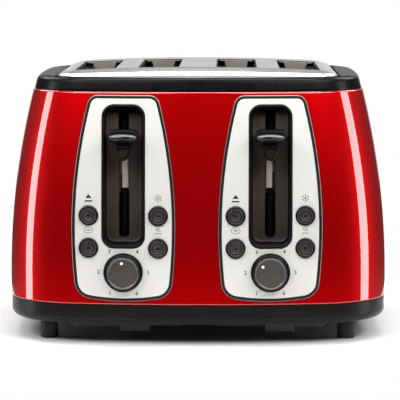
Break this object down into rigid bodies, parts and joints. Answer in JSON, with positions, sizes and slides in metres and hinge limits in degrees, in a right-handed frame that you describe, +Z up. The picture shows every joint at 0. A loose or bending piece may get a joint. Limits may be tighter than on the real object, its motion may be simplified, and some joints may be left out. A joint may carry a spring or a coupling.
{
  "type": "toaster",
  "caption": "Free-standing bread toaster with long top slots, twin front lever panels, rotary browning dials, push buttons and pull-out crumb trays.",
  "frame": {"origin": "middle of the bounding box on the standing plane, under the feet", "axes": "+X to the right seen from the controls, +Y away from the controls to the back, +Z up"},
  "size_m": [0.3068, 0.29, 0.218],
  "materials": {
    "red_enamel": "gloss",
    "black_satin": "satin",
    "black_gloss": "gloss",
    "steel_satin": "satin",
    "trim_dark": "satin",
    "sheet_steel": "plain",
    "rod_steel": "polished",
    "foot_rubber": "matt",
    "white_mark": "matt",
    "mica": "matt",
    "heater_alloy": "matt",
    "board": "satin",
    "switch_plastic": "satin",
    "magnet_iron": "plain"
  },
  "bodies": {
    "chassis": {"outer_shell": "red_enamel", "top_collar": "black_satin", "top_plate": "steel_satin", "base_pan": "black_satin", "feet": "foot_rubber", "tray_rails": "black_satin", "front_chassis_plate": "sheet_steel", "rear_chassis_plate": "sheet_steel", "reflectors": "sheet_steel", "base_screws": "rod_steel", "cord_gland": "black_satin", "terminal_block": "switch_plastic", "control_panel_left": "steel_satin", "panel_trim_left": "trim_dark", "lever_well_left": "black_gloss", "guide_rod_left": "rod_steel", "browning_pot_left": "switch_plastic", "control_board_left": "board", "tact_switches_left": "switch_plastic", "electromagnet_left": "magnet_iron", "mica_cards_left": "mica", "heating_ribbon_left": "heater_alloy", "control_panel_right": "steel_satin", "panel_trim_right": "trim_dark", "lever_well_right": "black_gloss", "guide_rod_right": "rod_steel", "browning_pot_right": "switch_plastic", "control_board_right": "board", "tact_switches_right": "switch_plastic", "electromagnet_right": "magnet_iron", "mica_cards_right": "mica", "heating_ribbon_right": "heater_alloy"},
    "lever_left": {"lever_knob_left": "black_gloss", "carriage_left": "sheet_steel", "bread_racks_left": "sheet_steel", "lift_spring_left": "rod_steel"},
    "knob_left": {"browning_knob_left": "black_gloss", "knob_marker_left": "white_mark", "browning_shaft_left": "rod_steel"},
    "cancel_push_left": {"cancel_button_left": "black_gloss"},
    "frozen_push_left": {"frozen_button_left": "black_gloss"},
    "bagel_push_left": {"bagel_button_left": "black_gloss"},
    "reheat_push_left": {"reheat_button_left": "black_gloss"},
    "tray_left": {"crumb_tray_left": "sheet_steel"},
    "guard_left_a": {"guards_left_a": "rod_steel"},
    "guard_left_b": {"guards_left_b": "rod_steel"},
    "lever_right": {"lever_knob_right": "black_gloss", "carriage_right": "sheet_steel", "bread_racks_right": "sheet_steel", "lift_spring_right": "rod_steel"},
    "knob_right": {"browning_knob_right": "black_gloss", "knob_marker_right": "white_mark", "browning_shaft_right": "rod_steel"},
    "cancel_push_right": {"cancel_button_right": "black_gloss"},
    "frozen_push_right": {"frozen_button_right": "black_gloss"},
    "bagel_push_right": {"bagel_button_right": "black_gloss"},
    "reheat_push_right": {"reheat_button_right": "black_gloss"},
    "tray_right": {"crumb_tray_right": "sheet_steel"},
    "guard_right_a": {"guards_right_a": "rod_steel"},
    "guard_right_b": {"guards_right_b": "rod_steel"}
  },
  "joints": [
    {"name": "lever_lift_left", "type": "slide", "parent": "chassis", "child": "lever_left", "axis": [0, 0, 1], "range_m": [-0.06, 0.014], "stiffness_N_per_m": 80, "springref_m": 0.0126, "deforming": ["lift_spring_left"]},
    {"name": "guard_close_left_a", "type": "slide", "parent": "chassis", "child": "guard_left_a", "axis": [1, 0, 0], "range_m": [-0.0012, 0.00501]},
    {"name": "guard_close_left_b", "type": "slide", "parent": "chassis", "child": "guard_left_b", "axis": [-1, 0, 0], "range_m": [-0.0012, 0.00501]},
    {"name": "cancel_press_left", "type": "slide", "parent": "chassis", "child": "cancel_push_left", "axis": [0, 1, 0], "range_m": [0, 0.0015], "stiffness_N_per_m": 400, "springref_m": -0.001},
    {"name": "frozen_press_left", "type": "slide", "parent": "chassis", "child": "frozen_push_left", "axis": [0, 1, 0], "range_m": [0, 0.0015], "stiffness_N_per_m": 400, "springref_m": -0.001},
    {"name": "bagel_press_left", "type": "slide", "parent": "chassis", "child": "bagel_push_left", "axis": [0, 1, 0], "range_m": [0, 0.0015], "stiffness_N_per_m": 400, "springref_m": -0.001},
    {"name": "reheat_press_left", "type": "slide", "parent": "chassis", "child": "reheat_push_left", "axis": [0, 1, 0], "range_m": [0, 0.0015], "stiffness_N_per_m": 400, "springref_m": -0.001},
    {"name": "browning_turn_left", "type": "hinge", "parent": "chassis", "child": "knob_left", "pos_m": [-0.058, -0.13433, 0.0584], "axis": [0, -1, 0], "range_deg": [-157, 143]},
    {"name": "tray_pull_left", "type": "slide", "parent": "chassis", "child": "tray_left", "axis": [0, -1, 0], "range_m": [0, 0.15]},
    {"name": "lever_lift_right", "type": "slide", "parent": "chassis", "child": "lever_right", "axis": [0, 0, 1], "range_m": [-0.06, 0.014], "stiffness_N_per_m": 80, "springref_m": 0.0126, "deforming": ["lift_spring_right"]},
    {"name": "guard_close_right_a", "type": "slide", "parent": "chassis", "child": "guard_right_a", "axis": [1, 0, 0], "range_m": [-0.0012, 0.00501]},
    {"name": "guard_close_right_b", "type": "slide", "parent": "chassis", "child": "guard_right_b", "axis": [-1, 0, 0], "range_m": [-0.0012, 0.00501]},
    {"name": "cancel_press_right", "type": "slide", "parent": "chassis", "child": "cancel_push_right", "axis": [0, 1, 0], "range_m": [0, 0.0015], "stiffness_N_per_m": 400, "springref_m": -0.001},
    {"name": "frozen_press_right", "type": "slide", "parent": "chassis", "child": "frozen_push_right", "axis": [0, 1, 0], "range_m": [0, 0.0015], "stiffness_N_per_m": 400, "springref_m": -0.001},
    {"name": "bagel_press_right", "type": "slide", "parent": "chassis", "child": "bagel_push_right", "axis": [0, 1, 0], "range_m": [0, 0.0015], "stiffness_N_per_m": 400, "springref_m": -0.001},
    {"name": "reheat_press_right", "type": "slide", "parent": "chassis", "child": "reheat_push_right", "axis": [0, 1, 0], "range_m": [0, 0.0015], "stiffness_N_per_m": 400, "springref_m": -0.001},
    {"name": "browning_turn_right", "type": "hinge", "parent": "chassis", "child": "knob_right", "pos_m": [0.058, -0.13433, 0.0584], "axis": [0, -1, 0], "range_deg": [-198, 102]},
    {"name": "tray_pull_right", "type": "slide", "parent": "chassis", "child": "tray_right", "axis": [0, -1, 0], "range_m": [0, 0.15]}
  ],
  "couplings": [
    {"joint": "guard_close_left_a", "follows": "lever_lift_left", "ratio": -0.083333},
    {"joint": "guard_close_left_b", "follows": "lever_lift_left", "ratio": -0.083333},
    {"joint": "guard_close_right_a", "follows": "lever_lift_right", "ratio": -0.083333},
    {"joint": "guard_close_right_b", "follows": "lever_lift_right", "ratio": -0.083333}
  ]
}
